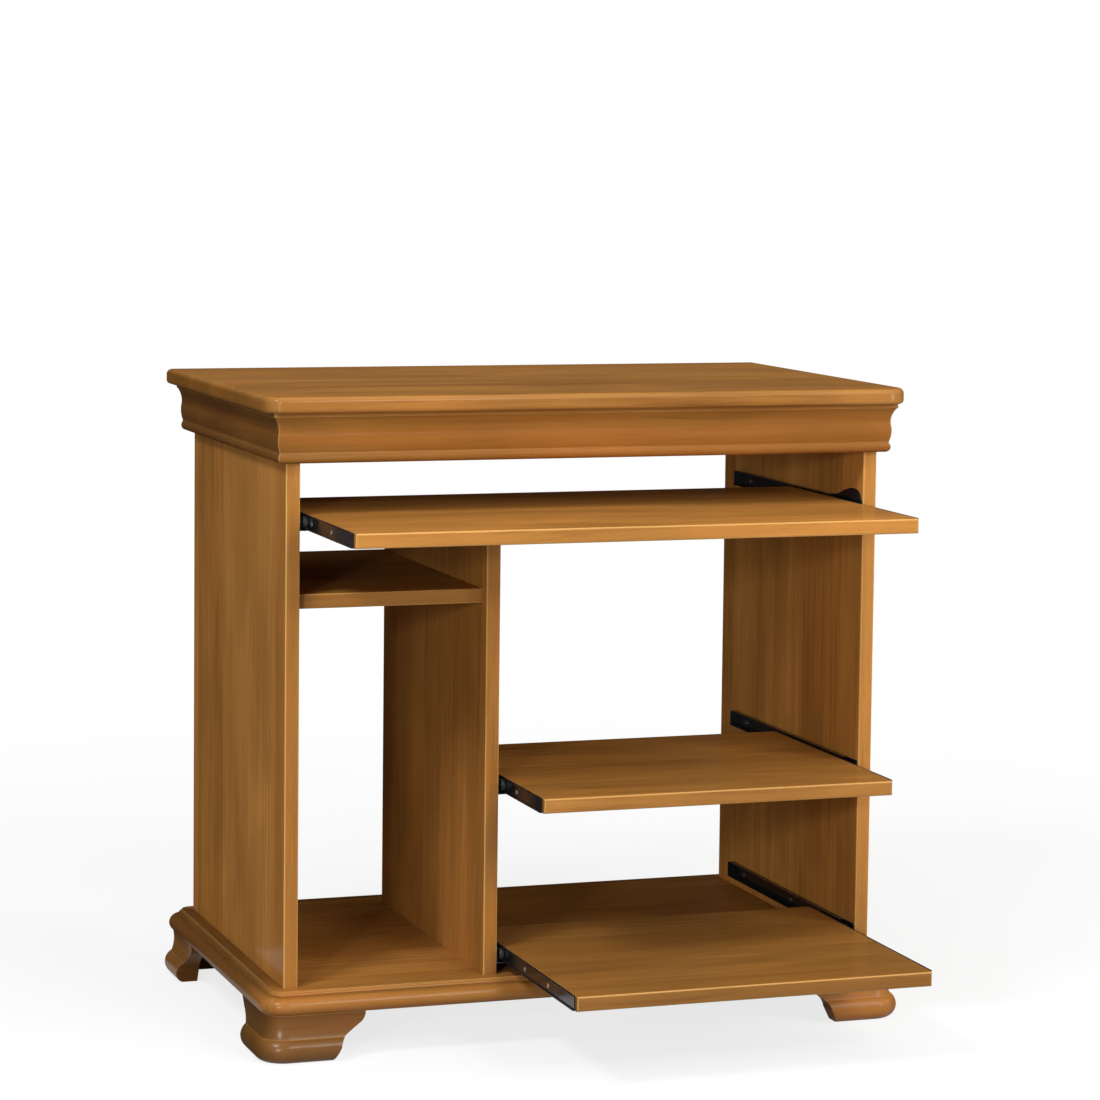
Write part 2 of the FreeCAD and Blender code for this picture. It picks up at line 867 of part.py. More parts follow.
def carcass():
    """Boards, mouldings, feet and what holds them together."""
    rail_pins = top_rail_dowels()
    shelf_pins = tower_shelf_dowels()
    top_fixings = top_screws()
    base_fixings = carcass_screws()
    foot_fixings = foot_screws()
    fixings = {name: nodes[name + "_runner_screws"] for name in SHELVES}
    bays = [fixings["middle_shelf"], fixings["printer_shelf"]]
    tray = fixings["keyboard_tray"]
    side_panel(
        "side_panel_left",
        "-cabinet_width/2",
        [rail_pins, shelf_pins, base_fixings, tray],
    )
    side_panel(
        "side_panel_right",
        "cabinet_width/2 - board",
        [rail_pins, base_fixings, tray] + bays,
    )
    divider([shelf_pins, base_fixings] + bays)
    tower_shelf(shelf_pins)
    bottom_panel([base_fixings])
    top_rail("top_rail_front", "front_line", [rail_pins, top_fixings])
    top_rail("top_rail_back", "front_line + panel_depth - board", [rail_pins, top_fixings])
    top_panel(top_fixings)

    width, depth = "cabinet_width", "panel_depth"
    middle = "front_line + panel_depth/2"
    left, right = "-cabinet_width/2", "cabinet_width/2"
    back = "front_line + panel_depth"
    held = [base_fixings, foot_fixings]
    feet = [foot_fixings]
    base_moulding("base_moulding_front", width, 0, "0", "front_line", "2*base_ledge", feet)
    base_moulding("base_moulding_back", width, 180, "0", back, "2*base_ledge", feet)
    base_moulding("base_moulding_left", depth, -90, left, middle, "0", held)
    base_moulding("base_moulding_right", depth, 90, right, middle, "0", held)

    run = size("panel_depth") + size("top_back_overhang") - CORNICE_SHORT
    reach = CORNICE_STOCK
    wide = HALF_WIDTH + reach
    cornice("cornice_front", -wide, wide, (-1, 1), 0, "0", "front_line")
    cornice("cornice_left", -run, reach, (1,), -90, left, "front_line")
    cornice("cornice_right", -reach, run, (-1,), 90, right, "front_line")

    foot("foot_front_left", 0, left, "front_line", foot_fixings)
    foot("foot_front_right", 90, right, "front_line", foot_fixings)
    foot("foot_back_right", 180, right, back, foot_fixings)
    foot("foot_back_left", 270, left, back, foot_fixings)


def check_and_write():
    """Stop on any failed feature or bad shape, then write each sub-part."""
    for thing in doc.Objects:
        if {"Invalid", "Error"} & set(thing.State):
            raise RuntimeError(f"{thing.Name} failed: {thing.State}")
    for name, thing in nodes.items():
        shape = thing.Shape
        if shape.isNull() or not shape.isValid() or shape.Volume <= 0:
            raise RuntimeError(f"{name} has no valid shape")
        print(f"{name}: {len(shape.Solids)} solids, {shape.Volume / 1000:.1f} cm3")
    os.makedirs("parts", exist_ok=True)
    for name, thing in nodes.items():
        thing.Shape.exportStep(f"parts/{name}.step")


for shelf_name, shelf_sizes in SHELVES.items():
    shelf_screws(shelf_name + "_slide_screws", shelf_sizes)
    runner_screws(shelf_name + "_runner_screws", shelf_sizes)
carcass()
for shelf_name, shelf_sizes in SHELVES.items():
    drawn_shelf(shelf_name, shelf_sizes)
doc.recompute()
check_and_write()
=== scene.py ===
import math
from collections import namedtuple

import bpy
from mathutils import Matrix, Vector

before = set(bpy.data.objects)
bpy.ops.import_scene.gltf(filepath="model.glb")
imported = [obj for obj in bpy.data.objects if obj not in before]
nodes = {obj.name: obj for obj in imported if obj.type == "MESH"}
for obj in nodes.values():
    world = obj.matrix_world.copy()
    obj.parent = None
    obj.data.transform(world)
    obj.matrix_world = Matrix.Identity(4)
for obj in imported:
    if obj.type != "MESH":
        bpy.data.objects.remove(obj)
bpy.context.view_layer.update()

SHELVES = ("keyboard_tray", "middle_shelf", "printer_shelf")
SIDES = ("left", "right")

# Colours, linear
HONEY_DARK = (0.245, 0.095, 0.018, 1)
HONEY = (0.395, 0.171, 0.036, 1)
HONEY_LIGHT = (0.515, 0.250, 0.062, 1)
HONEY_RED = (0.420, 0.128, 0.019, 1)
# pale wood for worn arrises, also a painted highlight on them
HONEY_RUBBED_AND_HIGHLIT = (0.80, 0.47, 0.15, 1)
BEECH = (0.62, 0.42, 0.24, 1)
ENAMEL = (0.008, 0.008, 0.009, 1)
ENAMEL_RUBBED = (0.04, 0.04, 0.04, 1)
ZINC = (0.50, 0.50, 0.48, 1)
ZINC_RUBBED = (0.8, 0.8, 0.78, 1)
NYLON = (0.022, 0.022, 0.023, 1)
NYLON_DUSTY = (0.055, 0.054, 0.052, 1)
CURTAIN_CLOTH = (0.10, 0.09, 0.08, 1)
FLOOR_PAINT = (0.22, 0.219, 0.215, 1)
WHITE = (1, 1, 1, 1)

# Each piece's own cut of the wood. Grain is the axis that it runs along, and stave the
# width in metres of the strips that a board is glued up from, across Y. Tone makes the
# stain darker or lighter, and is partly painted shade and light: the side mouldings, the
# front-left foot and the printer shelf are darker, and the front-right foot lighter, for
# how light falls on them. The next number says how pale the arrises are, by wear and by a
# painted highlight, and gloss how much lacquer is on it. Mitre_tone is a side moulding's
# tone where it meets the front one, so that its painted shade fades out at the mitre.
Wood = namedtuple("Wood", "grain seed stave tone rub gloss mitre_tone")

BOARDS = {
    "top_panel": Wood("X", 3, 0.118, 0.80, 0.06, 0.20, None),
    "side_panel_left": Wood("Z", 7, 0.132, 0.90, 0.60, 0.18, None),
    "side_panel_right": Wood("Z", 4, 0.121, 1.10, 0.55, 0.26, None),
    "divider_panel": Wood("Z", 16, 0.126, 0.86, 0.50, 0.22, None),
    "tower_shelf": Wood("X", 17, 0.110, 0.78, 0.35, 0.20, None),
    "bottom_panel": Wood("X", 18, 0.125, 0.88, 0.20, 0.20, None),
    "keyboard_tray_board": Wood("X", 27, 0.128, 1.03, 0.45, 0.24, None),
    "middle_shelf_board": Wood("X", 28, 0.119, 0.87, 0.45, 0.24, None),
    # painted shade: this board is darker because the light falls off lower down
    "printer_shelf_board": Wood("X", 29, 0.123, 0.62, 0.45, 0.24, None),
}
# pale arrises on the mouldings: wear and a painted highlight
MOULDING_RUB_AND_HIGHLIGHT = 0.30
MOULDINGS = {
    "cornice_front": Wood("X", 11, None, 0.65, MOULDING_RUB_AND_HIGHLIGHT, 0.11, None),
    # painted shade: the side mouldings are darker than the front ones
    "cornice_left": Wood("Y", 5, None, 0.36, MOULDING_RUB_AND_HIGHLIGHT, 0.18, None),
    "cornice_right": Wood("Y", 8, None, 0.55, MOULDING_RUB_AND_HIGHLIGHT, 0.14, None),
    "top_rail_front": Wood("X", 13, None, 0.80, MOULDING_RUB_AND_HIGHLIGHT, 0.07, None),
    "top_rail_back": Wood("X", 14, None, 0.80, MOULDING_RUB_AND_HIGHLIGHT, 0.07, None),
    "base_moulding_front": Wood("X", 19, None, 0.76, MOULDING_RUB_AND_HIGHLIGHT, 0.34, None),
    "base_moulding_back": Wood("X", 20, None, 0.70, MOULDING_RUB_AND_HIGHLIGHT, 0.34, None),
    "base_moulding_left": Wood("Y", 21, None, 0.36, MOULDING_RUB_AND_HIGHLIGHT, 0.34, 0.76),
    "base_moulding_right": Wood("Y", 22, None, 0.50, MOULDING_RUB_AND_HIGHLIGHT, 0.34, 0.76),
    # painted shade on the front-left foot, painted light on the front-right one
    "foot_front_left": Wood("X", 23, None, 0.42, MOULDING_RUB_AND_HIGHLIGHT, 0.42, None),
    "foot_front_right": Wood("X", 24, None, 1.10, MOULDING_RUB_AND_HIGHLIGHT, 0.42, None),
    "foot_back_right": Wood("X", 25, None, 0.62, MOULDING_RUB_AND_HIGHLIGHT, 0.42, None),
    "foot_back_left": Wood("Y", 26, None, 0.55, MOULDING_RUB_AND_HIGHLIGHT, 0.42, None),
}

# Patterns of noise in the wood: waves to a metre along the grain and across it
Pattern = namedtuple("Pattern", "along across detail roughness distortion")
BANDS = Pattern(1.6, 14.0, 3.0, 0.55, 0.0)
STREAKS = Pattern(4.0, 120.0, 4.0, 0.6, 0.0)
FIBRES = Pattern(18.0, 700.0, 2.0, 0.5, 0.0)
CLOUDS = Pattern(3.5, 9.0, 2.0, 0.5, 0.6)
RING_BENDS = Pattern(0.9, 5.0, 2.0, 0.5, 0.0)
BEECH_STREAKS = Pattern(8.0, 160.0, 4.0, 0.6, 0.0)
SEED_SHIFT = (1.7, 2.3, 0.9)  # how far one seed moves them
BEECH_SHIFT = (0.4, 0.2, 0.7)

# Specks on steel and nylon, the same in every direction: waves to a metre
Specks = namedtuple("Specks", "waves detail roughness")
ENAMEL_GRIT = Specks(900.0, 3.0, 0.6)
ZINC_GRIT = Specks(1500.0, 3.0, 0.6)
STEEL_PATCHES = Specks(22.0, 3.0, 0.5)
NYLON_DUST = Specks(260.0, 3.0, 0.6)

# Growth rings
RING_SEED_SHIFT = (0.31, 0.17, 0.23)
RING_START = 0.4  # along the grain
HEART_PLACE = (0.12, 0.2, 0.16)  # heart of the tree, outside the board
HEART_ALONG = 0.05  # how slowly rings change along the grain
RING_WANDER = 0.10
RINGS_PER_METRE = 95.0
LATE_WOOD = 0.82  # part of a ring where the dark late wood ends

# How much each pattern counts in the tone of the wood, and the range of their sum
RING_SHARE = 0.07
BAND_SHARE = 0.32
STREAK_SHARE = 0.36
FIBRE_SHARE = 0.20
STAVE_SHARE = 0.14
FIGURE_MIDDLE = 0.475
FIGURE_RANGE = (0.28, 0.72)
STAVE_SEED_SHIFT = 0.37
STAVE_JUMP = (0.9, 0.9, 0.9)

# End grain is calmer, darker and duller, from a slanting face to a square one
END_RANGE = (0.4, 0.95)
END_CALM = 0.25
END_TONE = 0.66
END_GLOSS = 0.1

# Red patches, pores, cloudy stain, and the fade of the side mouldings' painted shade at a
# mitre
RED_RANGE = (0.42, 0.60)
BOARD_RED = 0.16
MOULDING_RED = 0.5
PORE_RANGE = (0.62, 0.72)
PORE_DEPTH = 0.35
PORE_TONE = 0.45
CLOUD_RANGE = (0.32, 0.68)
CLOUD_TONES = (0.82, 1.14)
MITRE_SHADE_FADE_RANGE = (-0.14, -0.05)  # in Y, from the front line of the base backwards

# Rubbed arrises; on the wood they are paler both by wear and by a painted highlight
ARRIS_RADIUS = 0.0018
ARRIS_SAMPLES = 6
SQUARE_RANGE = (0.985, 0.80)  # greatest part of the smoothed normal on a square board
TURN_RANGE = (1.0, 0.90)  # cosine between the smoothed and the true normal
STEEL_ARRIS_RADIUS = 0.0006
STEEL_ARRIS_SAMPLES = 4
STEEL_TURN_RANGE = (1.0, 0.85)
STEEL_RUB = 0.7

# Sheen, from the dull to the bright parts of a pattern
SHEEN_RANGE = (0.3, 0.7)
WOOD_ROUGHNESS = (0.30, 0.40)
BEECH_ROUGHNESS = (0.62, 0.78)
ENAMEL_ROUGHNESS = (0.12, 0.24)
ZINC_ROUGHNESS = (0.22, 0.36)
NYLON_ROUGHNESS = (0.42, 0.58)
BOARD_COAT_ROUGHNESS = 0.15
MOULDING_COAT_ROUGHNESS = 0.27
COAT_IOR = 1.5
PAINTED = {"Metallic": 0.0, "Specular IOR Level": 0.3}
PLATED = {"Metallic": 1.0, "Specular IOR Level": 0.5}

# Relief: strength, and depth in metres
WOOD_RELIEF = (0.12, 0.0004)
BEECH_RELIEF = (0.3, 0.0005)
STEEL_RELIEF = (0.08, 0.0002)
NYLON_RELIEF = (0.1, 0.0002)
FIBRE_RELIEF = 0.35  # how much the fibres count beside the streaks

# Tones of the bare beech, lighter patches on steel, and dust on nylon
BEECH_TONES = (0.72, 1.05)
PATCH_RANGE = (0.35, 0.65)
PATCH_DEPTH = 0.5
PATCH_TONE = 1.6
DUST_RANGE = (0.45, 0.7)
DUST_DEPTH = 0.5

# Lamps: place, what they point at, width, height, watts, colour
PLAIN_LIGHT = (1, 1, 1)
COOL_LIGHT = (0.98, 1.0, 1.08)
LAMPS = {
    "key": ((1.25, -2.1, 2.2), (0, -0.1, 0.6), 1.7, 1.2, 28, PLAIN_LIGHT),
    "left_high": ((-2.2, -1.5, 3.0), (-0.2, 0, 0.4), 0.8, 0.8, 68, COOL_LIGHT),
    "left_low": ((-2.5, -3.2, 0.9), (0, 0, 0.4), 0.6, 0.6, 38, COOL_LIGHT),
    "front_glint": ((0.5, -2.6, 1.75), (0, -0.2, 0.35), 0.6, 0.3, 17, PLAIN_LIGHT),
    "right_low": ((1.5, -1.5, 0.8), (0.2, -0.2, 0.4), 0.4, 0.8, 10, PLAIN_LIGHT),
    "spark": ((-2.3, -3.4, 1.3), (0, 0, 0.45), 0.2, 0.2, 26, PLAIN_LIGHT),
    "right_spark": ((2.9, -0.7, 1.4), (0.3, -0.2, 0.6), 0.3, 0.3, 7, PLAIN_LIGHT),
    "overhead": ((0.1, -0.4, 3.2), (0, 0, 0.8), 1.6, 1.2, 12, PLAIN_LIGHT),
}
WORLD_LIGHT = 0.25

# Floor: its glow rises from the desk outwards, over this range in metres
FLOOR_WIDTH = 40
GLOW_RANGE = (0.7, 3.2)
GLOW_STRENGTH = (0.78, 0.94)

CURTAIN_WIDTH = 9
CURTAIN_HEIGHT = 4
CURTAIN_Y = 0.4
CURTAIN_LIFT = 0.01

# Camera: angles in degrees, lens and sensor in millimetres
CAMERA_PLACE = (-1.4840, -4.2597, 1.1229)
CAMERA_YAW = -19.091
CAMERA_PITCH = -5.061
CAMERA_ROLL = 0.658
FOCAL_LENGTH = 117.64
SENSOR_WIDTH = 36
SHIFT_UP = -0.0927
FAR_CLIP = 100


# Small helpers for node trees


def emptied(tree, output_kind):
    """Clear a tree but for its output, and give the output's surface socket."""
    tree.nodes.clear()
    return add(tree, output_kind).inputs["Surface"]


def new_material(name):
    material = bpy.data.materials.new(name)
    material.use_nodes = True
    surface = emptied(material.node_tree, "ShaderNodeOutputMaterial")
    return material, material.node_tree, surface


def add(tree, kind, **settings):
    """A node with its settings, to the right of those before it."""
    made = tree.nodes.new(kind)
    made.location.x = 200 * len(tree.nodes)
    for key, value in settings.items():
        setattr(made, key, value)
    return made


def feed(tree, value, socket):
    """Link an output to a socket, or write a plain value on it."""
    if isinstance(value, bpy.types.NodeSocket):
        tree.links.new(value, socket)
    else:
        socket.default_value = value


def calculate(tree, operation, *values):
    """One step of arithmetic on numbers or outputs."""
    made = add(tree, "ShaderNodeMath", operation=operation)
    for value, socket in zip(values, made.inputs):
        feed(tree, value, socket)
    return made.outputs["Value"]


def vector_node(tree, operation, *vectors):
    made = add(tree, "ShaderNodeVectorMath", operation=operation)
    for vector, socket in zip(vectors, made.inputs):
        feed(tree, vector, socket)
    return made


def split(tree, vector):
    """A vector's X, Y and Z."""
    made = add(tree, "ShaderNodeSeparateXYZ")
    feed(tree, vector, made.inputs[0])
    return made.outputs


def ranged(tree, value, source, target):
    """A value moved from one range to another, held at the ends."""
    remap = add(tree, "ShaderNodeMapRange", clamp=True)
    remap.inputs["From Min"].default_value = source[0]
    remap.inputs["From Max"].default_value = source[1]
    remap.inputs["To Min"].default_value = target[0]
    remap.inputs["To Max"].default_value = target[1]
    feed(tree, value, remap.inputs["Value"])
    return remap.outputs["Result"]


def mix_colour(tree, factor, first, second):
    """A mix of two colours; the node's sockets for colour are 6 and 7, and 2 is its result."""
    made = add(tree, "ShaderNodeMix", data_type="RGBA")
    feed(tree, factor, made.inputs[0])
    feed(tree, first, made.inputs[6])
    feed(tree, second, made.inputs[7])
    return made.outputs[2]


def stretched(tree, coords, scale, offset):
    """Object coordinates stretched and then moved."""
    mapping = add(tree, "ShaderNodeMapping", vector_type="POINT")
    mapping.inputs["Location"].default_value = offset
    mapping.inputs["Scale"].default_value = scale
    feed(tree, coords, mapping.inputs["Vector"])
    return mapping.outputs["Vector"]


def along_grain(axis, along, across):
    """A stretch with one number along the grain and another across it."""
    scale = [across, across, across]
    scale["XYZ".index(axis)] = along
    return scale


def noise(tree, vector, scale, detail, roughness, distortion=0.0):
    texture = add(tree, "ShaderNodeTexNoise")
    texture.inputs["Scale"].default_value = scale
    texture.inputs["Detail"].default_value = detail
    texture.inputs["Roughness"].default_value = roughness
    texture.inputs["Distortion"].default_value = distortion
    feed(tree, vector, texture.inputs["Vector"])
    return texture.outputs["Fac"]


def grain_noise(tree, coords, grain, offset, pattern):
    """Noise drawn out along the grain."""
    scale = along_grain(grain, pattern.along, pattern.across)
    at = stretched(tree, coords, scale, offset)
    return noise(tree, at, 1.0, pattern.detail, pattern.roughness, pattern.distortion)


def bump(tree, height, relief, normal=None):
    strength, depth = relief
    made = add(tree, "ShaderNodeBump")
    made.inputs["Strength"].default_value = strength
    made.inputs["Distance"].default_value = depth
    feed(tree, height, made.inputs["Height"])
    if normal:
        feed(tree, normal, made.inputs["Normal"])
    return made.outputs["Normal"]


def turned_edge(tree, smoothed):
    """Cosine between the smoothed and the true normal: 1, and less at an edge."""
    true_normal = add(tree, "ShaderNodeNewGeometry").outputs["Normal"]
    return vector_node(tree, "DOT_PRODUCT", smoothed, true_normal).outputs["Value"]


def smoothed_normal(tree, radius, samples):
    arris = add(tree, "ShaderNodeBevel", samples=samples)
    arris.inputs["Radius"].default_value = radius
    return arris.outputs["Normal"]


def surface_shader(tree, colour, roughness, normal, output, plain=None):
    """The shader; plain holds what is the same all over, written on its own sockets."""
    shader = add(tree, "ShaderNodeBsdfPrincipled")
    for socket, value in (plain or {}).items():
        shader.inputs[socket].default_value = value
    feed(tree, colour, shader.inputs["Base Color"])
    feed(tree, roughness, shader.inputs["Roughness"])
    feed(tree, normal, shader.inputs["Normal"])
    feed(tree, shader.outputs["BSDF"], output)
    return shader


def shade(colour, factor):
    return tuple(min(1.0, c * factor) for c in colour[:3]) + (1,)


# Lacquered wood


def rings(tree, coords, grain, seed):
    """Growth rings round a heart some way outside the board, bent by slow noise."""
    offset = [shift * seed for shift in RING_SEED_SHIFT]
    offset["XYZ".index(grain)] += RING_START
    wander = grain_noise(tree, coords, grain, offset, RING_BENDS)
    heart = stretched(tree, coords, along_grain(grain, HEART_ALONG, 1.0), HEART_PLACE)
    length = vector_node(tree, "LENGTH", heart).outputs["Value"]
    distance = calculate(tree, "ADD", length, calculate(tree, "MULTIPLY", wander, RING_WANDER))
    saw = calculate(tree, "FRACT", calculate(tree, "MULTIPLY", distance, RINGS_PER_METRE))
    rise = ranged(tree, saw, (0.0, LATE_WOOD), (0.0, 1.0))
    fall = ranged(tree, saw, (LATE_WOOD, 1.0), (1.0, 0.0))
    return calculate(tree, "MULTIPLY", rise, fall)


def glued_staves(tree, coords, wood):
    """Staves side by side: a tone for each, and coordinates that jump from one to the next."""
    across = split(tree, coords)["Y"]
    shift = STAVE_SEED_SHIFT * wood.seed
    count = calculate(tree, "MULTIPLY_ADD", across, 1.0 / wood.stave, shift)
    chance = add(tree, "ShaderNodeTexWhiteNoise", noise_dimensions="1D")
    feed(tree, calculate(tree, "FLOOR", count), chance.inputs["W"])
    jump = vector_node(tree, "MULTIPLY_ADD", chance.outputs["Color"], STAVE_JUMP, coords)
    return chance.outputs["Value"], jump.outputs["Vector"]


def figure(tree, ring, bands, streaks, fibres, stave_tone, end):
    """The sum of the patterns, calmer on end grain, from 0, dark, to 1, light."""
    value = calculate(tree, "MULTIPLY", ring, RING_SHARE)
    value = calculate(tree, "MULTIPLY_ADD", bands, BAND_SHARE, value)
    value = calculate(tree, "MULTIPLY_ADD", streaks, STREAK_SHARE, value)
    value = calculate(tree, "MULTIPLY_ADD", fibres, FIBRE_SHARE, value)
    if stave_tone:
        value = calculate(tree, "MULTIPLY_ADD", stave_tone, STAVE_SHARE, value)
        value = calculate(tree, "SUBTRACT", value, STAVE_SHARE / 2)
    calm = ranged(tree, end, END_RANGE, (1.0, END_CALM))
    away = calculate(tree, "SUBTRACT", value, FIGURE_MIDDLE)
    value = calculate(tree, "MULTIPLY_ADD", away, calm, 0.5)
    return ranged(tree, value, FIGURE_RANGE, (0.0, 1.0))


def stain(tree, body, tone):
    """Dark, middle and light honey over the figure."""
    ramp = add(tree, "ShaderNodeValToRGB")
    ramp.color_ramp.interpolation = "EASE"
    # the tone scales these colours, and for some pieces it is painted shade or light
    ramp.color_ramp.elements[0].color = shade(HONEY_DARK, tone)
    ramp.color_ramp.elements[1].color = shade(HONEY_LIGHT, tone)
    ramp.color_ramp.elements.new(0.5).color = shade(HONEY, tone)
    feed(tree, body, ramp.inputs[0])
    return ramp.outputs["Color"]


def clouded(tree, colour, coords, clouds, end, wood):
    """Stain lighter and darker in clouds, darker on end grain; painted shade faded at a mitre.
    """
    tint = ranged(tree, clouds, CLOUD_RANGE, CLOUD_TONES)
    tint = calculate(tree, "MULTIPLY", tint, ranged(tree, end, END_RANGE, (1.0, END_TONE)))
    if wood.mitre_tone:
        at_mitre = wood.mitre_tone / wood.tone
        # painted shade: the darker side tone is lifted to the front one near the mitre
        mitre_shade_fade = ranged(tree, split(tree, coords)["Y"], MITRE_SHADE_FADE_RANGE, (at_mitre, 1.0))
        tint = calculate(tree, "MULTIPLY", tint, mitre_shade_fade)
    scaled = vector_node(tree, "SCALE", colour)
    feed(tree, tint, scaled.inputs["Scale"])
    return scaled.outputs["Vector"]


def rubbed_and_highlit_arrises(tree, smoothed, wood):
    """0 on a face, up to the wood's rub on an arris, where it is wear and a painted highlight.
    """
    if not wood.stave:
        return ranged(tree, turned_edge(tree, smoothed), TURN_RANGE, (0.0, wood.rub))
    parts = split(tree, vector_node(tree, "ABSOLUTE", smoothed).outputs["Vector"])
    widest = calculate(tree, "MAXIMUM", parts["X"], parts["Y"])
    widest = calculate(tree, "MAXIMUM", widest, parts["Z"])
    return ranged(tree, widest, SQUARE_RANGE, (0.0, wood.rub))


def lacquered_wood(name, wood):
    """Stained and lacquered wood: staves, rings, streaks, fibres and pores along the grain."""
    material, tree, output = new_material(name)
    coords = add(tree, "ShaderNodeTexCoord").outputs["Object"]
    stave_tone, field = glued_staves(tree, coords, wood) if wood.stave else (None, coords)

    offset = [shift * wood.seed for shift in SEED_SHIFT]
    ring = rings(tree, field, wood.grain, wood.seed)
    bands = grain_noise(tree, field, wood.grain, offset, BANDS)
    streaks = grain_noise(tree, field, wood.grain, offset, STREAKS)
    fibres = grain_noise(tree, field, wood.grain, offset, FIBRES)
    clouds = grain_noise(tree, field, wood.grain, offset, CLOUDS)

    true_normal = add(tree, "ShaderNodeNewGeometry").outputs["Normal"]
    end = calculate(tree, "ABSOLUTE", split(tree, true_normal)[wood.grain])

    body = figure(tree, ring, bands, streaks, fibres, stave_tone, end)
    red = ranged(tree, bands, RED_RANGE, (0.0, BOARD_RED if wood.stave else MOULDING_RED))
    colour = mix_colour(tree, red, stain(tree, body, wood.tone), shade(HONEY_RED, wood.tone))
    pores = ranged(tree, fibres, PORE_RANGE, (0.0, PORE_DEPTH))
    colour = mix_colour(tree, pores, colour, shade(HONEY_DARK, PORE_TONE))
    colour = clouded(tree, colour, coords, clouds, end, wood)

    smoothed = smoothed_normal(tree, ARRIS_RADIUS, ARRIS_SAMPLES)
    rub_and_highlight_mask = rubbed_and_highlit_arrises(tree, smoothed, wood)
    # pale arrises: partly wear, partly a painted highlight
    colour = mix_colour(tree, rub_and_highlight_mask, colour, HONEY_RUBBED_AND_HIGHLIT)

    roughness = ranged(tree, streaks, SHEEN_RANGE, WOOD_ROUGHNESS)
    height = calculate(tree, "MULTIPLY_ADD", fibres, FIBRE_RELIEF, streaks)
    normal = bump(tree, height, WOOD_RELIEF, smoothed)
    lacquer = {
        "Specular IOR Level": 0.0,
        "Coat Roughness": BOARD_COAT_ROUGHNESS if wood.stave else MOULDING_COAT_ROUGHNESS,
        "Coat IOR": COAT_IOR,
    }
    shader = surface_shader(tree, colour, roughness, normal, output, lacquer)
    coat = ranged(tree, end, END_RANGE, (wood.gloss, END_GLOSS * wood.gloss))
    feed(tree, coat, shader.inputs["Coat Weight"])
    return material


# Other finishes


def bare_wood(name, grain, colour):
    """Unfinished wood of the dowels."""
    material, tree, output = new_material(name)
    coords = add(tree, "ShaderNodeTexCoord").outputs["Object"]
    streak = grain_noise(tree, coords, grain, BEECH_SHIFT, BEECH_STREAKS)
    factor = ranged(tree, streak, SHEEN_RANGE, (0.0, 1.0))
    dark, light = (shade(colour, tone) for tone in BEECH_TONES)
    tint = mix_colour(tree, factor, dark, light)
    rough = ranged(tree, streak, SHEEN_RANGE, BEECH_ROUGHNESS)
    surface_shader(tree, tint, rough, bump(tree, streak, BEECH_RELIEF), output)
    return material


def metal(name, colour, rubbed_colour, roughness, grit, plain):
    """Sheet steel or screws: uneven sheen, fine grit and lighter rubbed edges."""
    material, tree, output = new_material(name)
    coords = add(tree, "ShaderNodeTexCoord").outputs["Object"]
    fine = noise(tree, coords, *grit)
    broad = noise(tree, coords, *STEEL_PATCHES)
    smoothed = smoothed_normal(tree, STEEL_ARRIS_RADIUS, STEEL_ARRIS_SAMPLES)
    edge = ranged(tree, turned_edge(tree, smoothed), STEEL_TURN_RANGE, (0.0, STEEL_RUB))
    patchy = ranged(tree, broad, PATCH_RANGE, (0.0, PATCH_DEPTH))
    tint = mix_colour(tree, patchy, colour, shade(colour, PATCH_TONE))
    tint = mix_colour(tree, edge, tint, rubbed_colour)
    rough = ranged(tree, broad, SHEEN_RANGE, roughness)
    normal = bump(tree, fine, STEEL_RELIEF, smoothed)
    surface_shader(tree, tint, rough, normal, output, plain)
    return material


def nylon(name):
    """Black moulded rollers, a little greyed where they run."""
    material, tree, output = new_material(name)
    coords = add(tree, "ShaderNodeTexCoord").outputs["Object"]
    dust = noise(tree, coords, *NYLON_DUST)
    greyed = ranged(tree, dust, DUST_RANGE, (0.0, DUST_DEPTH))
    tint = mix_colour(tree, greyed, NYLON, NYLON_DUSTY)
    rough = ranged(tree, dust, SHEEN_RANGE, NYLON_ROUGHNESS)
    surface_shader(tree, tint, rough, bump(tree, dust, NYLON_RELIEF), output)
    return material


def finish(names, material):
    """Give CAD pieces one finish."""
    for name in names:
        mesh = nodes[name].data
        mesh.materials.clear()
        mesh.materials.append(material)


def finish_cabinet():
    for piece, wood in {**BOARDS, **MOULDINGS}.items():
        finish([piece], lacquered_wood("honey_" + piece, wood))
    beech = bare_wood("dowel_beech", "X", BEECH)
    finish(["top_rail_dowels", "tower_shelf_dowels"], beech)

    enamel = metal(
        "black_enamel", ENAMEL, ENAMEL_RUBBED, ENAMEL_ROUGHNESS, ENAMEL_GRIT, PAINTED
    )
    zinc = metal("zinc_plate", ZINC, ZINC_RUBBED, ZINC_ROUGHNESS, ZINC_GRIT, PLATED)
    roller_nylon = nylon("roller_nylon")
    finish(["carcass_screws", "top_screws", "foot_screws"], zinc)
    for shelf in SHELVES:
        finish([f"{shelf}_slide_screws", f"{shelf}_runner_screws"], zinc)
        for side in SIDES:
            finish([f"{shelf}_slide_{side}", f"{shelf}_runner_{side}"], enamel)
            rollers = [f"{shelf}_front_roller_{side}", f"{shelf}_back_roller_{side}"]
            finish(rollers, roller_nylon)


# Studio


def seen_directly(tree):
    """1 for the camera, for gloss and for glass, and 0 for light that falls on things."""
    path = add(tree, "ShaderNodeLightPath").outputs
    seen = calculate(tree, "MAXIMUM", path["Is Camera Ray"], path["Is Glossy Ray"])
    return calculate(tree, "MAXIMUM", seen, path["Is Transmission Ray"])


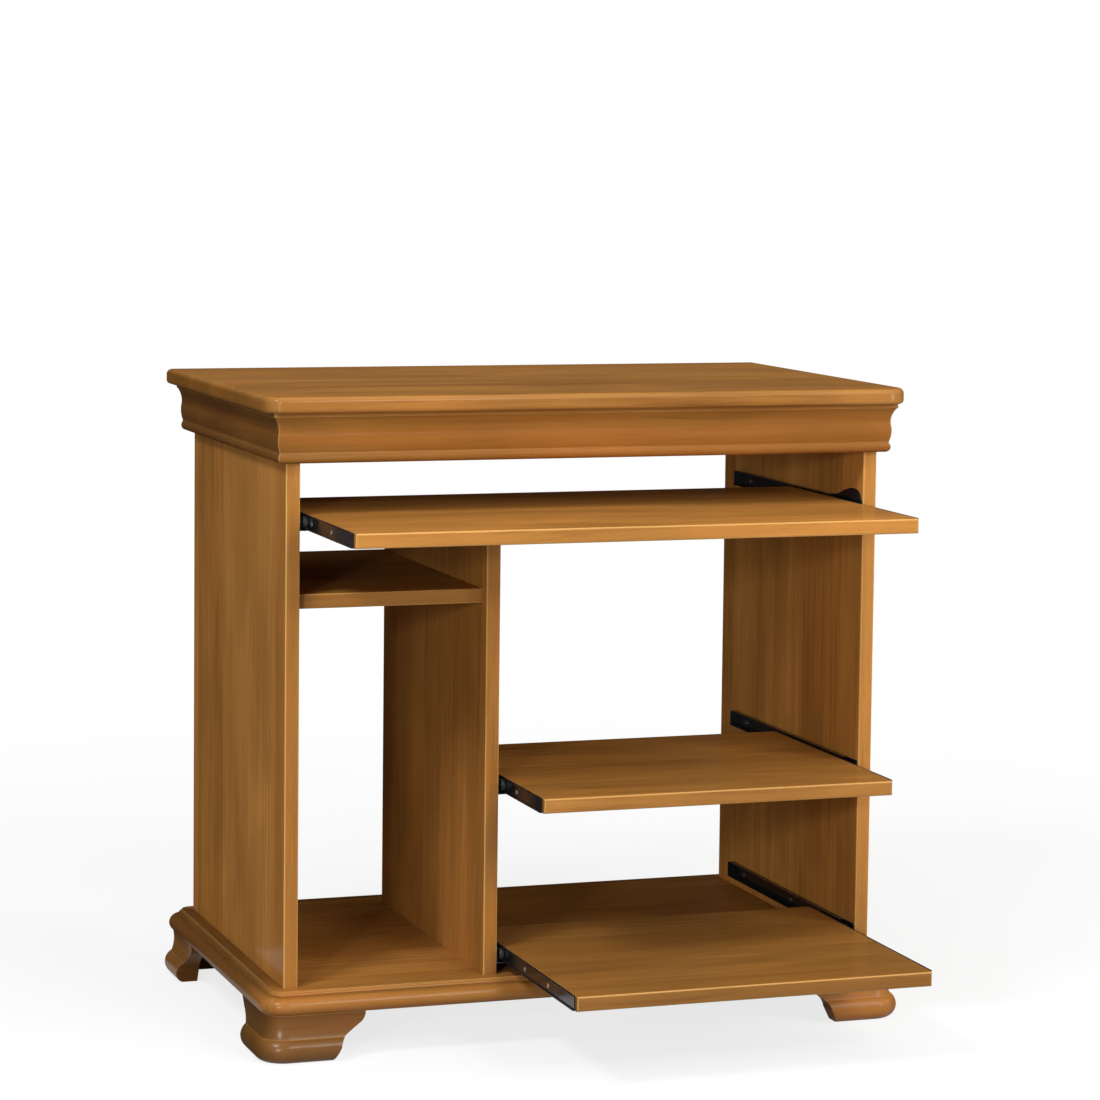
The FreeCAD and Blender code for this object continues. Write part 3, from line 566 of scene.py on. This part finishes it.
def studio_world():
    """White to look at, and a weaker light on the desk."""
    world = bpy.data.worlds.new("studio")
    bpy.context.scene.world = world
    world.use_nodes = True
    tree = world.node_tree
    output = emptied(tree, "ShaderNodeOutputWorld")
    sky = add(tree, "ShaderNodeBackground")
    sky.inputs["Color"].default_value = WHITE
    strength = ranged(tree, seen_directly(tree), (0.0, 1.0), (WORLD_LIGHT, 1.0))
    feed(tree, strength, sky.inputs["Strength"])
    feed(tree, sky.outputs["Background"], output)


def plane(name, width):
    bpy.ops.object.select_all(action="DESELECT")
    bpy.ops.mesh.primitive_plane_add(size=width, location=(0, 0, 0))
    made = bpy.context.object
    made.name = name
    return made


def studio_floor():
    """Matt grey paint that takes the shadows, under a white glow that is only seen."""
    floor = plane("studio_floor", FLOOR_WIDTH)
    material, tree, output = new_material("studio_floor")
    matt = add(tree, "ShaderNodeBsdfDiffuse")
    matt.inputs["Color"].default_value = FLOOR_PAINT
    glow = add(tree, "ShaderNodeEmission")
    glow.inputs["Color"].default_value = WHITE
    coords = add(tree, "ShaderNodeTexCoord").outputs["Object"]
    away = vector_node(tree, "LENGTH", coords).outputs["Value"]
    white = ranged(tree, away, GLOW_RANGE, GLOW_STRENGTH)
    strength = calculate(tree, "MULTIPLY", seen_directly(tree), white)
    feed(tree, strength, glow.inputs["Strength"])
    both = add(tree, "ShaderNodeAddShader")
    feed(tree, matt.outputs["BSDF"], both.inputs[0])
    feed(tree, glow.outputs["Emission"], both.inputs[1])
    feed(tree, both.outputs["Shader"], output)
    floor.data.materials.append(material)


def dark_curtain():
    """A dark curtain, stood up behind the desk, that shows only in the desk's gloss."""
    curtain = plane("dark_curtain", 1)
    for corner in curtain.data.vertices:
        across = corner.co.x * CURTAIN_WIDTH
        up = CURTAIN_LIFT + (corner.co.y + 0.5) * CURTAIN_HEIGHT
        corner.co = (across, CURTAIN_Y, up)
    material, tree, output = new_material("dark_curtain")
    cloth = add(tree, "ShaderNodeBsdfDiffuse")
    cloth.inputs["Color"].default_value = CURTAIN_CLOTH
    feed(tree, cloth.outputs["BSDF"], output)
    curtain.data.materials.append(material)
    curtain.visible_camera = False
    curtain.visible_diffuse = False
    curtain.visible_shadow = False


def softbox(name, place, aim, width, height, watts, colour):
    lamp = bpy.data.lights.new(name, "AREA")
    lamp.shape = "RECTANGLE"
    lamp.size = width
    lamp.size_y = height
    lamp.energy = watts
    lamp.color = colour
    stand = bpy.data.objects.new(name, lamp)
    bpy.context.scene.collection.objects.link(stand)
    stand.location = place
    direction = Vector(aim) - Vector(place)
    stand.rotation_euler = direction.to_track_quat("-Z", "Y").to_euler()


def camera():
    """A long lens from the front left, rolled a little."""
    yaw, pitch, roll = (math.radians(a) for a in (CAMERA_YAW, CAMERA_PITCH, CAMERA_ROLL))
    flat = math.cos(pitch)
    forward = Vector((-math.sin(yaw) * flat, math.cos(yaw) * flat, math.sin(pitch)))
    level = Vector((math.cos(yaw), math.sin(yaw), 0))
    upright = level.cross(forward)
    right = math.cos(roll) * level + math.sin(roll) * upright
    up = math.cos(roll) * upright - math.sin(roll) * level
    lens = bpy.data.cameras.new("camera")
    lens.lens = FOCAL_LENGTH
    lens.sensor_width = SENSOR_WIDTH
    lens.sensor_fit = "HORIZONTAL"
    lens.shift_y = SHIFT_UP
    lens.clip_end = FAR_CLIP
    view = bpy.data.objects.new("camera", lens)
    bpy.context.scene.collection.objects.link(view)
    axes = Matrix((right, up, -forward)).transposed().to_4x4()
    view.matrix_world = Matrix.Translation(CAMERA_PLACE) @ axes
    bpy.context.scene.camera = view


finish_cabinet()
studio_world()
studio_floor()
dark_curtain()
for lamp_name, settings in LAMPS.items():
    softbox(lamp_name, *settings)
camera()
bpy.context.scene.view_settings.view_transform = "Standard"
